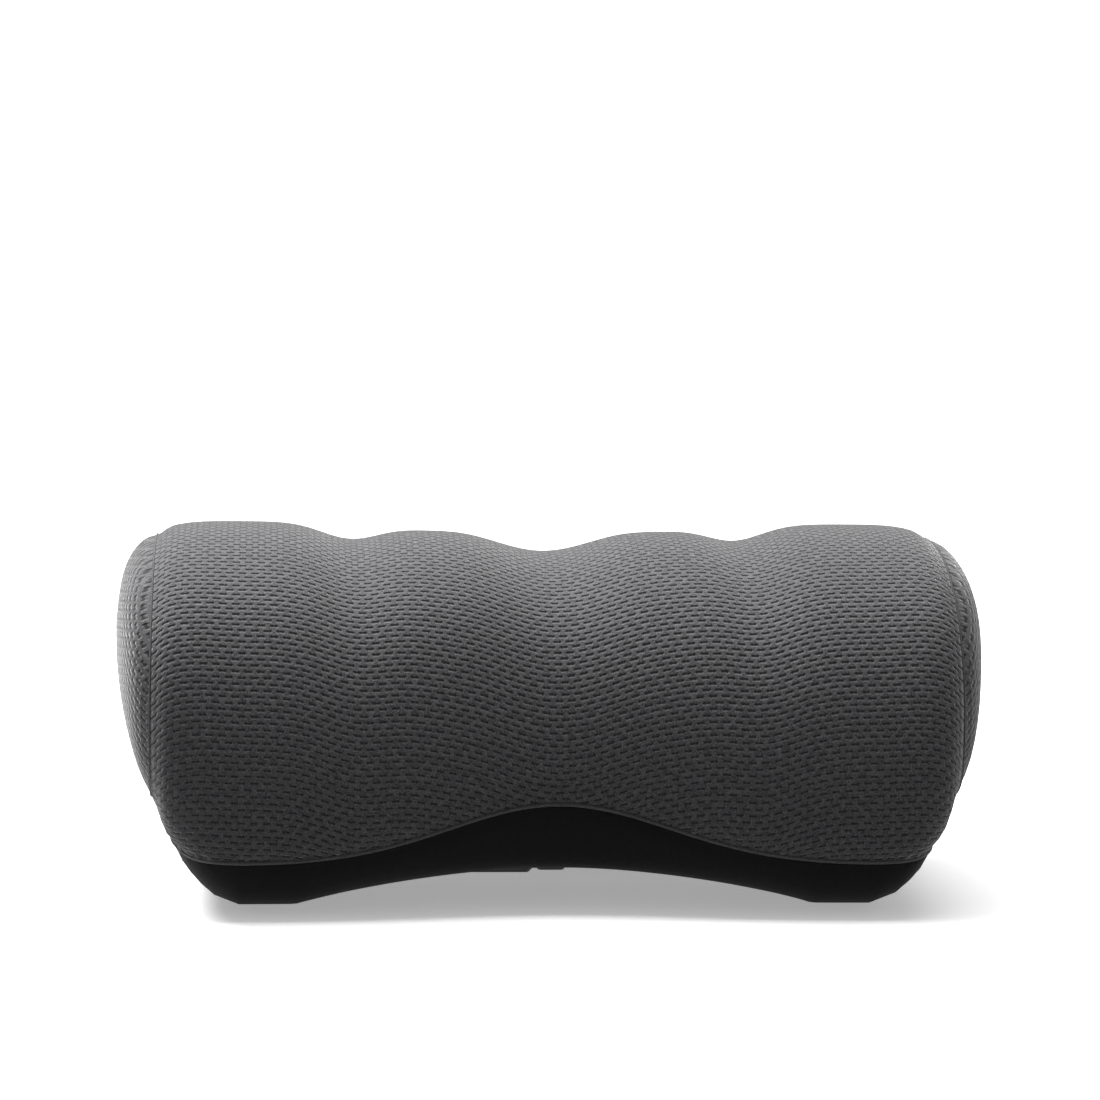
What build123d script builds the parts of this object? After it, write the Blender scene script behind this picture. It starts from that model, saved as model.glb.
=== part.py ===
"""Contoured headrest pillow for a chair, lying on its back panel.

A moulded foam roll with rounded lobes wears a zip-off cover: grey spacer mesh over the top, front,
rear and ends, and a black stretch panel under it. An elastic strap with a side-release buckle
crosses the hollow of the back panel and holds the pillow to a chair.
X runs along the roll, -Y is the front that shows, +Z points away from the chair.
The origin is the middle of the resting plane. Millimetres.
"""

import math
import os

from build123d import *

# Overall sizes of the covered pillow
length = 300.0
front_depth = 92.0
height = 127.0
belly_height = 38.0  # height above the rest plane at which the roll is deepest

# The contour along the roll: valleys between the lobes, and the waist of the front
middle_valley, middle_valley_width = 10.0, 27.0
outer_valley, outer_valley_at, outer_valley_width = 6.0, 68.0, 15.0
inner_ridge, inner_ridge_at, inner_ridge_width = 1.8, 43.0, 14.0
waist, waist_width = 13.0, 54.0

# The round ends: where they begin, the height at which they reach furthest, how they close
end_length = 42.0
end_height = 87.0
end_top_power, end_bottom_power, end_side_power = 3.4, 1.6, 3.0
end_belly_height = 97.0
end_blunt = 0.97  # share of the round end at which it is closed with a flat

# The hollow back that fits round a chair, and the flat feet on each side of it
arch_height = 8.0  # of the front and rear rims, in the middle
hollow_depth = 10.0  # how much further in the back panel lies between the rims
foot_length = 20.0
foot_start = length / 2 - end_length - foot_length
foot_press = 0.5  # how far the soft feet are pressed flat by the pillow's weight

# Cross-section of the roll: how full its quarters are, from 0.55 for an ellipse to 1 for a box
upper_fullness, lower_fullness = 0.6, 0.9
hollow_fullness = 0.45  # share of the depth over which the hollow stays level

# Cloth and foam layers, from the outside in
cover_thickness = 2.0
liner_thickness = 0.5
layer_gap = 0.3

# Seams
end_seam_inset = 13.0
end_seam_at = length / 2 - end_seam_inset
seam_width, seam_depth = 0.9, 1.5
front_seam_low, front_seam_rise, front_seam_width, front_seam_end = 18.5, 19.0, 51.0, 5.0

# Zip along the rear wall
zip_height = 38.0
zip_half_length = length / 2 - end_length
zip_opening = 12.0
tape_thickness = 0.6
tape_recess = 0.5  # how far the tape's inner face lies below the outer face of the cover
coil_width, coil_thickness = 2.4, 1.8
coil_spacing = 1.3
stop_length = 2.5
slider_length, slider_width = 12.0, 10.0
slider_plate = 1.0
slider_web = 0.8
zip_play = 0.25
pull_length, pull_width, pull_thickness = 24.0, 6.0, 1.2
pull_pin, pull_eye, pull_play = 0.6, 1.3, 0.08
lug_thickness = 1.0

# Elastic strap, sewn to the back panel over a patch on each side
strap_width, strap_thickness = 25.0, 1.4
sewn_span, sewn_to_foot = 22.0, 10.0
anchor_outer = foot_start - sewn_to_foot
anchor_inner = anchor_outer - sewn_span
patch_width, patch_thickness = 32.0, 0.8
stitch_width, stitch_thickness, stitch_margin = 0.8, 0.3, 2.5
sewn_gap = 0.6  # room between the back panel's curve and the flat patch
strap_drop = 1.6  # how far the strap's run hangs under its sewn end
strap_knee = anchor_inner - 6.0
strap_tail = strap_knee - 2.0
strap_play = 0.1

# Side-release buckle, hanging in the hollow of the back
buckle_width, buckle_thickness = 33.0, 8.6
socket_start, mouth = -36.0, -4.0
bar_width, bar_thickness = 2.6, 3.0
slot_length = 4.0
buckle_wall = 1.6
buckle_play = 0.3
buckle_corner = 1.5
plug_length, plug_thickness = 12.0, 7.0
arm_length, arm_width, arm_thickness = 20.0, 3.2, 4.6
catch_start, catch_length = 5.0, 11.0
tongue_length, tongue_width = 17.0, 6.0

# Loop that keeps the strap's free tail flat, and the care label
keeper_length, keeper_thickness = 6.0, 0.8
keeper_at = strap_tail - 10.0
label_width, label_height, label_thickness, label_at = 32.0, 17.0, 0.4, -50.0

# The rear wall stands in from the front's depth by what the zip pull stands proud of it
coil_base = tape_thickness - tape_recess
plate_base = coil_base + coil_thickness + zip_play
pin_height = plate_base + slider_plate + zip_play + pull_eye
rear_depth = front_depth - pin_height - pull_eye

os.makedirs("parts", exist_ok=True)


def save(part, name):
    """Labels a finished piece and writes its STEP file."""
    part.label = name
    export_step(part, f"parts/{name}.step")


# ---------------------------------------------------------------- shape of the roll


def bell(distance, width):
    """A smooth bump of height 1 that fades out over a width."""
    return math.exp(-((distance / width) ** 2))


def end_fade(x, power):
    """1 along the roll, falling towards 0 at its end as a superellipse."""
    into_end = max(0.0, (abs(x) - (length / 2 - end_length)) / end_length)
    return (1 - min(into_end, end_blunt) ** power) ** (1 / power)


def top_at(x):
    """Height of the crest: full on the outer lobes, lower in the valleys."""
    crest = height - middle_valley * bell(x, middle_valley_width)
    crest -= outer_valley * bell(abs(x) - outer_valley_at, outer_valley_width)
    crest -= inner_ridge * bell(abs(x) - inner_ridge_at, inner_ridge_width)
    return end_height + (crest - end_height) * end_fade(x, end_top_power)


def arch_at(x):
    """1 in the middle of the back, falling as a parabola to 0 where the feet start."""
    return max(0.0, 1 - (x / foot_start) ** 2)


def bottom_at(x):
    """Height of the rims: an arch in the middle, feet beside it, then the rising ends."""
    flat = -foot_press + (arch_height + foot_press) * arch_at(x)
    return end_height - (end_height - flat) * end_fade(x, end_bottom_power)


def back_at(x):
    """Height of the back panel halfway between its rims."""
    return bottom_at(x) + hollow_depth * arch_at(x)


def belly_at(x):
    """Height of the deepest place: it rises with the bottom at the round ends."""
    return end_belly_height - (end_belly_height - belly_height) * end_fade(x, end_bottom_power)


def front_at(x):
    """How far the front stands out: less at the waist."""
    return (front_depth - waist * bell(x, waist_width)) * end_fade(x, end_side_power)


def rear_at(x):
    """How far the rear stands out: straight, so that the zip runs straight."""
    return rear_depth * end_fade(x, end_side_power)


def drawn_in(size, inset):
    """A half size of the cross-section less the inset, but never less than part of itself."""
    return max(size - inset, 0.4 * size)


def section(x, inset):
    """Draws the cross-section at a place along the roll, drawn in by an inset, as four quarters."""
    middle = belly_at(x)
    top = middle + drawn_in(top_at(x) - middle, inset)
    bottom = middle - drawn_in(middle - bottom_at(x), inset)
    back = bottom + hollow_depth * arch_at(x)
    for side in (drawn_in(rear_at(x), inset), -drawn_in(front_at(x), inset)):
        handle = middle + upper_fullness * (top - middle)
        Bezier((side, middle), (side, handle), (upper_fullness * side, top), (0, top))
        handle = middle + lower_fullness * (bottom - middle)
        rim, level = (lower_fullness * side, bottom), (hollow_fullness * side, back)
        Bezier((side, middle), (side, handle), rim, level, (0, back))


def roll(inset):
    """The whole roll as one solid, drawn in by an inset on every side."""
    half = length / 2
    straight = half - end_length
    along = [0, 0.22, 0.4, 0.52, 0.63, 0.77, 0.9]
    round_end = [0.04, 0.28, 0.5, 0.7, 0.86, 1]
    places = [share * straight for share in along] + [straight + share * end_length for share in round_end]
    places = [-x for x in reversed(places[1:])] + places
    with BuildPart() as solid:
        for x in places:
            with BuildSketch(Plane.YZ.offset(x * (half - inset) / half)):
                with BuildLine():
                    section(x, inset)
                make_face()
        loft()
    return solid.part


def seam_at(x, y):
    """Height of the surface that parts mesh from back panel, from the front seam to the zip line."""
    front = front_seam_low + front_seam_rise * bell(x, front_seam_width)
    front += front_seam_end * (2 * x / length) ** 8
    return front + (zip_height - front) * (y + front_depth) / (front_depth + rear_depth)


def seam_region(upper, lower=None):
    """Everything between the seam surface moved up by upper and by lower, or down to a floor."""
    far, half, floor = 1.2 * front_depth, 0.52 * length, -height / 4
    stations = [half * (i / 8 - 1) for i in range(17)]
    with BuildPart() as region:
        for y in (-far, far):
            with BuildSketch(Plane.XZ.offset(-y)):
                with BuildLine():
                    roof = Spline(*[(x, seam_at(x, y) + upper) for x in stations])
                    if lower is None:
                        Polyline(roof @ 1, (half, floor), (-half, floor), roof @ 0)
                    else:
                        under = Spline(*[(x, seam_at(x, y) + lower) for x in stations])
                        Line(roof @ 0, under @ 0)
                        Line(roof @ 1, under @ 1)
                make_face()
        loft(ruled=True)
    return region.part


# ---------------------------------------------------------------- foam and liner

foam_inset = cover_thickness + 2 * layer_gap + liner_thickness
with BuildPart() as foam_core:
    add(roll(foam_inset))
save(foam_core.part, "foam_core")

with BuildPart() as inner_liner:
    add(roll(cover_thickness + layer_gap))
    add(roll(cover_thickness + layer_gap + liner_thickness), mode=Mode.SUBTRACT)
save(inner_liner.part, "inner_liner")

# ---------------------------------------------------------------- cover panels and seams

outside, inside, under_seams = roll(0), roll(cover_thickness), roll(seam_depth)
under_main, under_base = seam_region(seam_width / 2), seam_region(-seam_width / 2)
zip_plane = Plane.XY.offset(zip_height - zip_opening / 2)

with BuildPart() as zip_window:
    with BuildSketch(zip_plane):
        with Locations((0, front_depth)):
            Rectangle(2 * zip_half_length, 2 * (front_depth - rear_depth + 2 * cover_thickness))
    extrude(amount=zip_opening)

with BuildPart() as right_of_seam:
    with BuildSketch(Plane.YZ.offset(end_seam_at + seam_width / 2)):
        Rectangle(4 * front_depth, 4 * height)
    extrude(amount=length)

with BuildPart() as between_ends:
    with BuildSketch(Plane.YZ):
        Rectangle(4 * front_depth, 4 * height)
    extrude(amount=end_seam_at - seam_width / 2, both=True)

with BuildPart() as mesh_skin:
    add(outside)
    add(inside, mode=Mode.SUBTRACT)
    add(under_main, mode=Mode.SUBTRACT)
    add(zip_window.part, mode=Mode.SUBTRACT)

with BuildPart() as main_panel:
    add(mesh_skin.part)
    add(between_ends.part, mode=Mode.INTERSECT)
save(main_panel.part, "main_panel")

with BuildPart() as right_end_panel:
    add(mesh_skin.part)
    add(right_of_seam.part, mode=Mode.INTERSECT)
save(right_end_panel.part, "right_end_panel")

with BuildPart() as right_end_seam:
    with BuildSketch(Plane.YZ.offset(end_seam_at)):
        Rectangle(4 * front_depth, 4 * height)
    extrude(amount=seam_width / 2, both=True)
    add(outside, mode=Mode.INTERSECT)
    add(under_seams, mode=Mode.SUBTRACT)
    add(under_main, mode=Mode.SUBTRACT)
save(right_end_seam.part, "right_end_seam")

for right_piece, name in ((right_end_panel, "left_end_panel"), (right_end_seam, "left_end_seam")):
    with BuildPart() as left_piece:
        mirror(right_piece.part, about=Plane.YZ)
    save(left_piece.part, name)

with BuildPart() as base_panel:
    add(outside)
    add(inside, mode=Mode.SUBTRACT)
    add(under_base, mode=Mode.INTERSECT)
    add(zip_window.part, mode=Mode.SUBTRACT)
    split(bisect_by=Plane.XY, keep=Keep.TOP)
save(base_panel.part, "base_panel")

with BuildPart() as base_seam:
    add(seam_region(seam_width / 2, -seam_width / 2))
    split(bisect_by=Plane.YZ)
    add(outside, mode=Mode.INTERSECT)
    add(under_seams, mode=Mode.SUBTRACT)
    add(zip_window.part, mode=Mode.SUBTRACT)
    mirror(about=Plane.YZ)
save(base_seam.part, "base_seam")

# ---------------------------------------------------------------- zip


def rear_plane(out):
    """A plane parallel to the rear wall, out from it; its X is the roll's X and its Y is up."""
    return Plane(origin=(0, rear_depth + out, zip_height), x_dir=(-1, 0, 0), z_dir=(0, 1, 0))


for side, sign in (("upper", 1), ("lower", -1)):
    tape_height = (zip_opening - coil_spacing) / 2
    with BuildPart() as tape:
        with BuildSketch(rear_plane(-tape_recess)):
            with Locations((0, sign * (zip_opening - tape_height) / 2)):
                Rectangle(2 * zip_half_length, tape_height)
        extrude(amount=tape_thickness)
    save(tape.part, f"zip_tape_{side}")

    with BuildPart() as coil:
        with BuildSketch(rear_plane(coil_base)):
            with Locations((0, sign * (coil_spacing + coil_width) / 2)):
                Rectangle(2 * (zip_half_length - stop_length), coil_width)
        extrude(amount=coil_thickness)
        long_edges = coil.edges().filter_by(Axis.X).group_by(Axis.Y)[-1]
        fillet(long_edges, coil_thickness / 3)
    save(coil.part, f"zip_coil_{side}")

for end, sign in (("closed", -1), ("open", 1)):
    with BuildPart() as stop:
        with BuildSketch(rear_plane(coil_base)):
            with Locations((sign * (zip_half_length - stop_length / 2), 0)):
                Rectangle(stop_length, coil_spacing + 2 * coil_width)
        extrude(amount=coil_thickness)
        fillet(stop.edges().filter_by(Axis.X).group_by(Axis.Y)[-1], coil_thickness / 3)
    save(stop.part, f"zip_stop_{end}")

slider_x = zip_half_length - stop_length - slider_length / 2 - zip_play
pin_x = slider_x + slider_length / 4
lug_height = slider_width / 2 - lug_thickness / 2

with BuildPart() as zip_slider:
    with BuildSketch(rear_plane(plate_base)):
        with Locations((-slider_x, 0)):
            RectangleRounded(slider_length, slider_width, slider_width / 4)
    extrude(amount=slider_plate)
    with BuildSketch(rear_plane(-tape_recess - zip_play - slider_plate)):
        with Locations((-slider_x, 0)):
            RectangleRounded(slider_length, slider_width, slider_width / 4)
    extrude(amount=slider_plate)
    with BuildSketch(rear_plane(-tape_recess - zip_play)):
        with Locations((-slider_x, 0)):
            Rectangle(slider_length / 2, slider_web)
    extrude(until=Until.NEXT)
    with BuildSketch(rear_plane(plate_base + slider_plate)):
        with Locations((-pin_x, lug_height), (-pin_x, -lug_height)):
            Rectangle(2 * pull_eye, lug_thickness)
    extrude(amount=pin_height + pull_pin - plate_base - slider_plate)
    with BuildSketch(Plane.XY.offset(zip_height - lug_height)):
        with Locations((pin_x, rear_depth + pin_height)):
            Circle(pull_pin)
    extrude(amount=2 * lug_height)
save(zip_slider.part, "zip_slider")

with BuildPart() as zip_pull:
    with BuildSketch(Plane.XY.offset(zip_height)):
        with Locations((pin_x, rear_depth + pin_height)):
            Circle(pull_eye)
        with Locations((pin_x - pull_length / 2, rear_depth + pin_height)):
            Rectangle(pull_length, pull_thickness)
        with Locations((pin_x, rear_depth + pin_height)):
            Circle(pull_pin + pull_play, mode=Mode.SUBTRACT)
    extrude(amount=pull_width / 2, both=True)
    fillet(zip_pull.edges().filter_by(Axis.Y).group_by(Axis.X)[0], pull_width / 3)
save(zip_pull.part, "zip_pull")

# ---------------------------------------------------------------- strap and its anchors

sewn_length = math.hypot(sewn_span, back_at(anchor_inner) - back_at(anchor_outer))
lean = sewn_length / sewn_span
strap_depth = sewn_gap + patch_thickness


def sewn_height(x, depth):
    """Height, at the sewn part, of a layer that lies a depth under the back panel."""
    return back_at(x) - depth * lean


def sewn_plane(sign, depth):
    """The plane a strap end is sewn in, a depth under the back panel; its X runs outward."""
    inner = Vector(sign * anchor_inner, 0, sewn_height(anchor_inner, depth))
    outer = Vector(sign * anchor_outer, 0, sewn_height(anchor_outer, depth))
    along = outer - inner
    down = Vector(sign * along.Z, 0, -abs(along.X)).normalized()
    return Plane(origin=(inner + outer) / 2, x_dir=along, z_dir=down)


run_z = sewn_height(anchor_inner, strap_depth + strap_thickness / 2) - strap_drop
tail_z = run_z + strap_thickness + strap_play
buckle_z = run_z + strap_thickness / 2 + strap_play + bar_thickness / 2
over_z = buckle_z + bar_thickness / 2 + strap_play + strap_thickness / 2


def strap_line(bar_face):
    """Corners of the strap's centre line, from its sewn end round the buckle's bar and back."""
    middle = strap_depth + strap_thickness / 2
    through = bar_face - strap_play - strap_thickness / 2
    return [
        (anchor_outer, sewn_height(anchor_outer, middle)),
        (anchor_inner, sewn_height(anchor_inner, middle)),
        (strap_knee, run_z),
        (through, run_z),
        (through, over_z),
        (bar_face + bar_width + 2 * strap_thickness, over_z),
        (bar_face + bar_width + 6 * strap_thickness, tail_z),
        (strap_tail, tail_z),
    ]


strap_bends = [2.0, 4.0, 0.8, 0.8, 2.0, 2.0]
plug_bar_face = mouth + buckle_play + plug_length - bar_width
socket_bar_face = -socket_start - bar_width

for side, sign, bar_face in (("left", -1, socket_bar_face), ("right", 1, plug_bar_face)):
    with BuildPart() as strap:
        with BuildSketch(Plane.XZ):
            with BuildLine():
                FilletPolyline(*[(sign * x, z) for x, z in strap_line(bar_face)], radius=strap_bends)
            trace(line_width=strap_thickness)
        extrude(amount=strap_width / 2, both=True)
    save(strap.part, f"strap_{side}")

    with BuildPart() as patch:
        with BuildSketch(sewn_plane(sign, sewn_gap)):
            RectangleRounded(sewn_length, patch_width, patch_thickness)
        extrude(amount=patch_thickness)
    save(patch.part, f"anchor_patch_{side}")

    box_length, box_width = sewn_length - 2 * stitch_margin, strap_width - 2 * stitch_margin
    diagonal = math.degrees(math.atan2(box_width, box_length))
    with BuildPart() as stitches:
        with BuildSketch(sewn_plane(sign, strap_depth + strap_thickness)):
            Rectangle(box_length, box_width)
            Rectangle(box_length - 2 * stitch_width, box_width - 2 * stitch_width, mode=Mode.SUBTRACT)
            for turn in (diagonal, -diagonal):
                Rectangle(math.hypot(box_length, box_width) - 2 * stitch_width, stitch_width, rotation=turn)
        extrude(amount=stitch_thickness)
    save(stitches.part, f"anchor_stitches_{side}")

# ---------------------------------------------------------------- side-release buckle

slot_width = strap_width + 2 * buckle_play + 2 * strap_play
cavity_start = socket_start + bar_width + slot_length + buckle_wall
cavity_height = arm_thickness + 2 * buckle_play
plug_start = mouth + buckle_play
catch_from = plug_start - catch_start
arm_y = buckle_width / 2 - buckle_wall - buckle_play - arm_width / 2

with BuildPart() as buckle_socket:
    with BuildSketch(Plane.XY.offset(buckle_z)):
        with Locations(((socket_start + mouth) / 2, 0)):
            RectangleRounded(mouth - socket_start, buckle_width, 2 * buckle_corner)
    extrude(amount=buckle_thickness / 2, both=True)
    chamfer(buckle_socket.edges().filter_by(GeomType.LINE).filter_by(Axis.X), buckle_corner)
    with BuildSketch(Plane.XY.offset(buckle_z)):
        with Locations((socket_start + bar_width + slot_length / 2, 0)):
            Rectangle(slot_length, slot_width)
    extrude(amount=buckle_thickness, both=True, mode=Mode.SUBTRACT)
    with BuildSketch(Plane.XZ) as bar_relief:
        for level in (buckle_z + buckle_thickness / 2, buckle_z - buckle_thickness / 2):
            with Locations((socket_start + bar_width / 2, level)):
                Rectangle(bar_width, buckle_thickness - bar_thickness)
    extrude(amount=slot_width / 2, both=True, mode=Mode.SUBTRACT)
    with BuildSketch(Plane.XY.offset(buckle_z)):
        with Locations(((cavity_start + mouth) / 2, 0)):
            Rectangle(mouth - cavity_start, buckle_width - 2 * buckle_wall)
        with Locations((catch_from - catch_length / 2, 0)):
            Rectangle(catch_length + 2 * buckle_play, 2 * buckle_width)
    extrude(amount=cavity_height / 2, both=True, mode=Mode.SUBTRACT)
save(buckle_socket.part, "buckle_socket")

with BuildPart() as buckle_plug:
    with BuildSketch(Plane.XY.offset(buckle_z)):
        with Locations((plug_start + plug_length / 2, 0)):
            RectangleRounded(plug_length, buckle_width, 2 * buckle_corner)
    extrude(amount=plug_thickness / 2, both=True)
    chamfer(buckle_plug.edges().filter_by(GeomType.LINE).filter_by(Axis.X), buckle_corner)
    with BuildSketch(Plane.XY.offset(buckle_z)):
        with Locations((plug_bar_face - slot_length / 2, 0)):
            Rectangle(slot_length, slot_width)
    extrude(amount=buckle_thickness, both=True, mode=Mode.SUBTRACT)
    with BuildSketch(Plane.XZ):
        for level in (buckle_z + plug_thickness / 2, buckle_z - plug_thickness / 2):
            with Locations((plug_bar_face + bar_width / 2, level)):
                Rectangle(bar_width, plug_thickness - bar_thickness)
    extrude(amount=slot_width / 2, both=True, mode=Mode.SUBTRACT)
    with BuildSketch(Plane.XY.offset(buckle_z)):
        with Locations((plug_start - tongue_length / 2, 0)):
            RectangleRounded(tongue_length + 2 * buckle_corner, tongue_width, buckle_corner)
    extrude(amount=arm_thickness / 2, both=True)
save(buckle_plug.part, "buckle_plug")

for name, sign in (("front", -1), ("rear", 1)):
    outer_y, tip = sign * (arm_y + arm_width / 2), plug_start - arm_length
    inner_y, catch_y = sign * (arm_y - arm_width / 2), sign * buckle_width / 2
    with BuildPart() as latch_arm:
        with BuildSketch(Plane.XY.offset(buckle_z)):
            with BuildLine():
                start = (plug_start, outer_y)
                Polyline(start, (catch_from, outer_y), (catch_from, catch_y))
                catch_middle = (catch_from - catch_length / 2, catch_y)
                Line((catch_from, catch_y), catch_middle)
                catch_end = (catch_from - catch_length, outer_y)
                ThreePointArc(catch_middle, (catch_from - 0.85 * catch_length, (catch_y + outer_y) / 2), catch_end)
                Polyline(catch_end, (tip, outer_y), (tip, inner_y), (plug_start, inner_y), start)
            make_face()
        extrude(amount=arm_thickness / 2, both=True)
    save(latch_arm.part, f"latch_arm_{name}")

# ---------------------------------------------------------------- strap keeper and care label

inner_height, inner_width = 2 * strap_thickness + 3 * strap_play, strap_width + 2 * strap_play
with BuildPart() as strap_keeper:
    with BuildSketch(Plane.YZ.offset(keeper_at)):
        with Locations((0, (run_z + tail_z) / 2)):
            RectangleRounded(
                inner_width + 2 * keeper_thickness, inner_height + 2 * keeper_thickness, keeper_thickness
            )
            Rectangle(inner_width, inner_height, mode=Mode.SUBTRACT)
    extrude(amount=keeper_length / 2, both=True)
save(strap_keeper.part, "strap_keeper")

with BuildPart() as care_label:
    with BuildSketch(rear_plane(layer_gap)):
        with Locations((-label_at, -zip_opening / 2 - label_height / 2)):
            Rectangle(label_width, label_height)
    extrude(amount=label_thickness)
save(care_label.part, "care_label")
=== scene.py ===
# %% [markdown]
# # A contoured headrest pillow
#
# The pillow is a moulded foam roll in a zip-off cover. Grey spacer mesh covers the front, top,
# rear and ends, and a black stretch panel closes it underneath, where an elastic strap with a
# side-release buckle ties it to a chair. This file builds the looks of the soft and the small
# pieces around a fixed frame of solid parts. Everything is in metres: X runs along the roll,
# -Y is the front, +Z is up, and the floor is Z = 0.

# %% Load the frame
from math import comb

import bmesh
import bpy
import numpy as np
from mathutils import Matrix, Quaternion, Vector


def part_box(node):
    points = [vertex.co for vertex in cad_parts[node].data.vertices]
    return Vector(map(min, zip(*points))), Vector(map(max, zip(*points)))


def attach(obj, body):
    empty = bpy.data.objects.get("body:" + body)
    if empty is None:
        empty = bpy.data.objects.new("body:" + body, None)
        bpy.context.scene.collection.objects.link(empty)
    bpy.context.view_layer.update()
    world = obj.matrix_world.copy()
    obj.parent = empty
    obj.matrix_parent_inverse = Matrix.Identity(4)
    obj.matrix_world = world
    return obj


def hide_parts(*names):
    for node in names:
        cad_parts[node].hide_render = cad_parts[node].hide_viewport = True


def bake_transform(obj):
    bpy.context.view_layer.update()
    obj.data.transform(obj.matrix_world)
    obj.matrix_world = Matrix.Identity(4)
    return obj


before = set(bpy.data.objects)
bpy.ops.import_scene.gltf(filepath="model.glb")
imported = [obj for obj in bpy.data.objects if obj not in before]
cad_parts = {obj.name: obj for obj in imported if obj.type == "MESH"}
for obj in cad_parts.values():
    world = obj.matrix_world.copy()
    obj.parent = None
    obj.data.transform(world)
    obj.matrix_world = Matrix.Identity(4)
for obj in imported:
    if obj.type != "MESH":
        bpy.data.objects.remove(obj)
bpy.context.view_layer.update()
MM = 0.001

# %% [markdown]
# ## Sizes
#
# A piece fits when its sizes come from its neighbours. The overall sizes are read from the
# boxes of the cover's solid panels, and the seams and the zip opening are placed by theirs.

# %% Read the driving sizes
END = -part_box("left_end_panel")[0].x
FRONT, REAR = -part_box("main_panel")[0].y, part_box("main_panel")[1].y
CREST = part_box("main_panel")[1].z
END_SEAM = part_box("right_end_seam")[0].x
ZIP_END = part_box("zip_tape_upper")[1].x
ZIP_LOW, ZIP_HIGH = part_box("zip_tape_lower")[0].z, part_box("zip_tape_upper")[1].z
ZIP_MIDDLE = (ZIP_LOW + ZIP_HIGH) / 2
BEHIND = 0.8 * REAR
print("half length", END, "front", FRONT, "rear", REAR, "crest", CREST)

# %% [markdown]
# ## The shape of the roll
#
# The roll is a loft: a cross-section carried along X whose height, depth and underside are
# smooth formulas of X. It could also be sculpted by hand, but formulas keep the lobes even and
# let every other piece ask where the skin is.

# %% Formulas for the roll's outline
ROUND_END = 42 * MM
END_HEIGHT, BELLY_HEIGHT, END_BELLY = 87 * MM, 38 * MM, 97 * MM
ARCH, HOLLOW, FOOT_PRESS = 8 * MM, 10 * MM, 0.5 * MM
FOOT_START = END - ROUND_END - 20 * MM


def bell(distance, width):
    """Smooth bump of height 1: e to the power of minus (distance over width) squared."""
    return np.exp(-((distance / width) ** 2))


def into_end(x):
    """Share of the round end passed at x: 0 on the straight part and 1 at the tip."""
    return np.clip((np.abs(x) - (END - ROUND_END)) / ROUND_END, 0, 1)


def fade(x, power):
    """1 along the roll, falling to 0 at the tip as a superellipse of the given power."""
    return (1 - into_end(x) ** power) ** (1 / power)


def top_of(x):
    """Crest height: full on the lobes, lower in three valleys, closing at the round ends."""
    crest = CREST - 10 * MM * bell(x, 27 * MM)
    crest -= 6 * MM * bell(np.abs(x) - 68 * MM, 15 * MM)
    crest -= 1.8 * MM * bell(np.abs(x) - 43 * MM, 14 * MM)
    return END_HEIGHT + (crest - END_HEIGHT) * fade(x, 3.4)


def arch_of(x):
    """1 in the middle of the back, falling as a parabola to 0 where the feet start."""
    return np.clip(1 - (x / FOOT_START) ** 2, 0, None)


def bottom_of(x):
    """Height of the rims: a parabola arch in the middle, feet beside it, then rising ends."""
    flat = -FOOT_PRESS + (ARCH + FOOT_PRESS) * arch_of(x)
    return END_HEIGHT - (END_HEIGHT - flat) * fade(x, 1.6)


def belly_of(x):
    """Height of the deepest place, which rises with the bottom at the round ends."""
    return END_BELLY - (END_BELLY - BELLY_HEIGHT) * fade(x, 1.6)


def front_of(x):
    """How far the front stands out, less at the waist in the middle."""
    return (FRONT - 13 * MM * bell(x, 54 * MM)) * fade(x, 3)


def rear_of(x):
    """How far the rear stands out: straight, for a straight zip."""
    return REAR * fade(x, 3)


def bezier(t, *handles):
    """Bezier curve of any degree: each handle weighted by its binomial share of t."""
    degree = len(handles) - 1
    share = [comb(degree, k) * (1 - t) ** (degree - k) * t**k for k in range(degree + 1)]
    return sum(weight * handle for weight, handle in zip(share, handles))


def seam_of(x, y):
    """Height of the surface that parts mesh from black panel: low at the feet, high over the
    arch, and a straight line from the front edge back to the zip."""
    front = 18.5 * MM + 19 * MM * bell(x, 51 * MM) + 5 * MM * (x / END) ** 8
    return front + (ZIP_MIDDLE - front) * (y + FRONT) / (FRONT + REAR)


print("crest in the middle", float(top_of(np.array(0.0))), "arch", float(bottom_of(np.array(0.0))))

# %% [markdown]
# ## The skin before it is cut
#
# All the cover's panels share one closed skin, so their edges meet. It is a grid: rings along
# X, each going once round the section. Two attributes are stored on its points for the cloth:
# where a point lies on the flat mesh (distance along the roll, and distance from the crest
# measured on the skin), because knitted rows follow the cloth and not the room.

# %% Build the skin as a grid
AROUND, STRAIGHT, ROUND = 192, 110, 22


def ring_places():
    """X of each ring: even on the straight part, and by the angle of an arc in the ends. The
    straight part stops 1 mm short, so that no ring lies where the zip's ends are cut."""
    straight = np.linspace(-(END - ROUND_END - MM), END - ROUND_END - MM, STRAIGHT)
    angle = np.linspace(0, np.pi / 2, ROUND + 1)[1:-1]
    round_end = END - ROUND_END + ROUND_END * np.sin(angle) ** (2 / 3)
    return np.concatenate([-round_end[::-1], straight, round_end])


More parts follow.
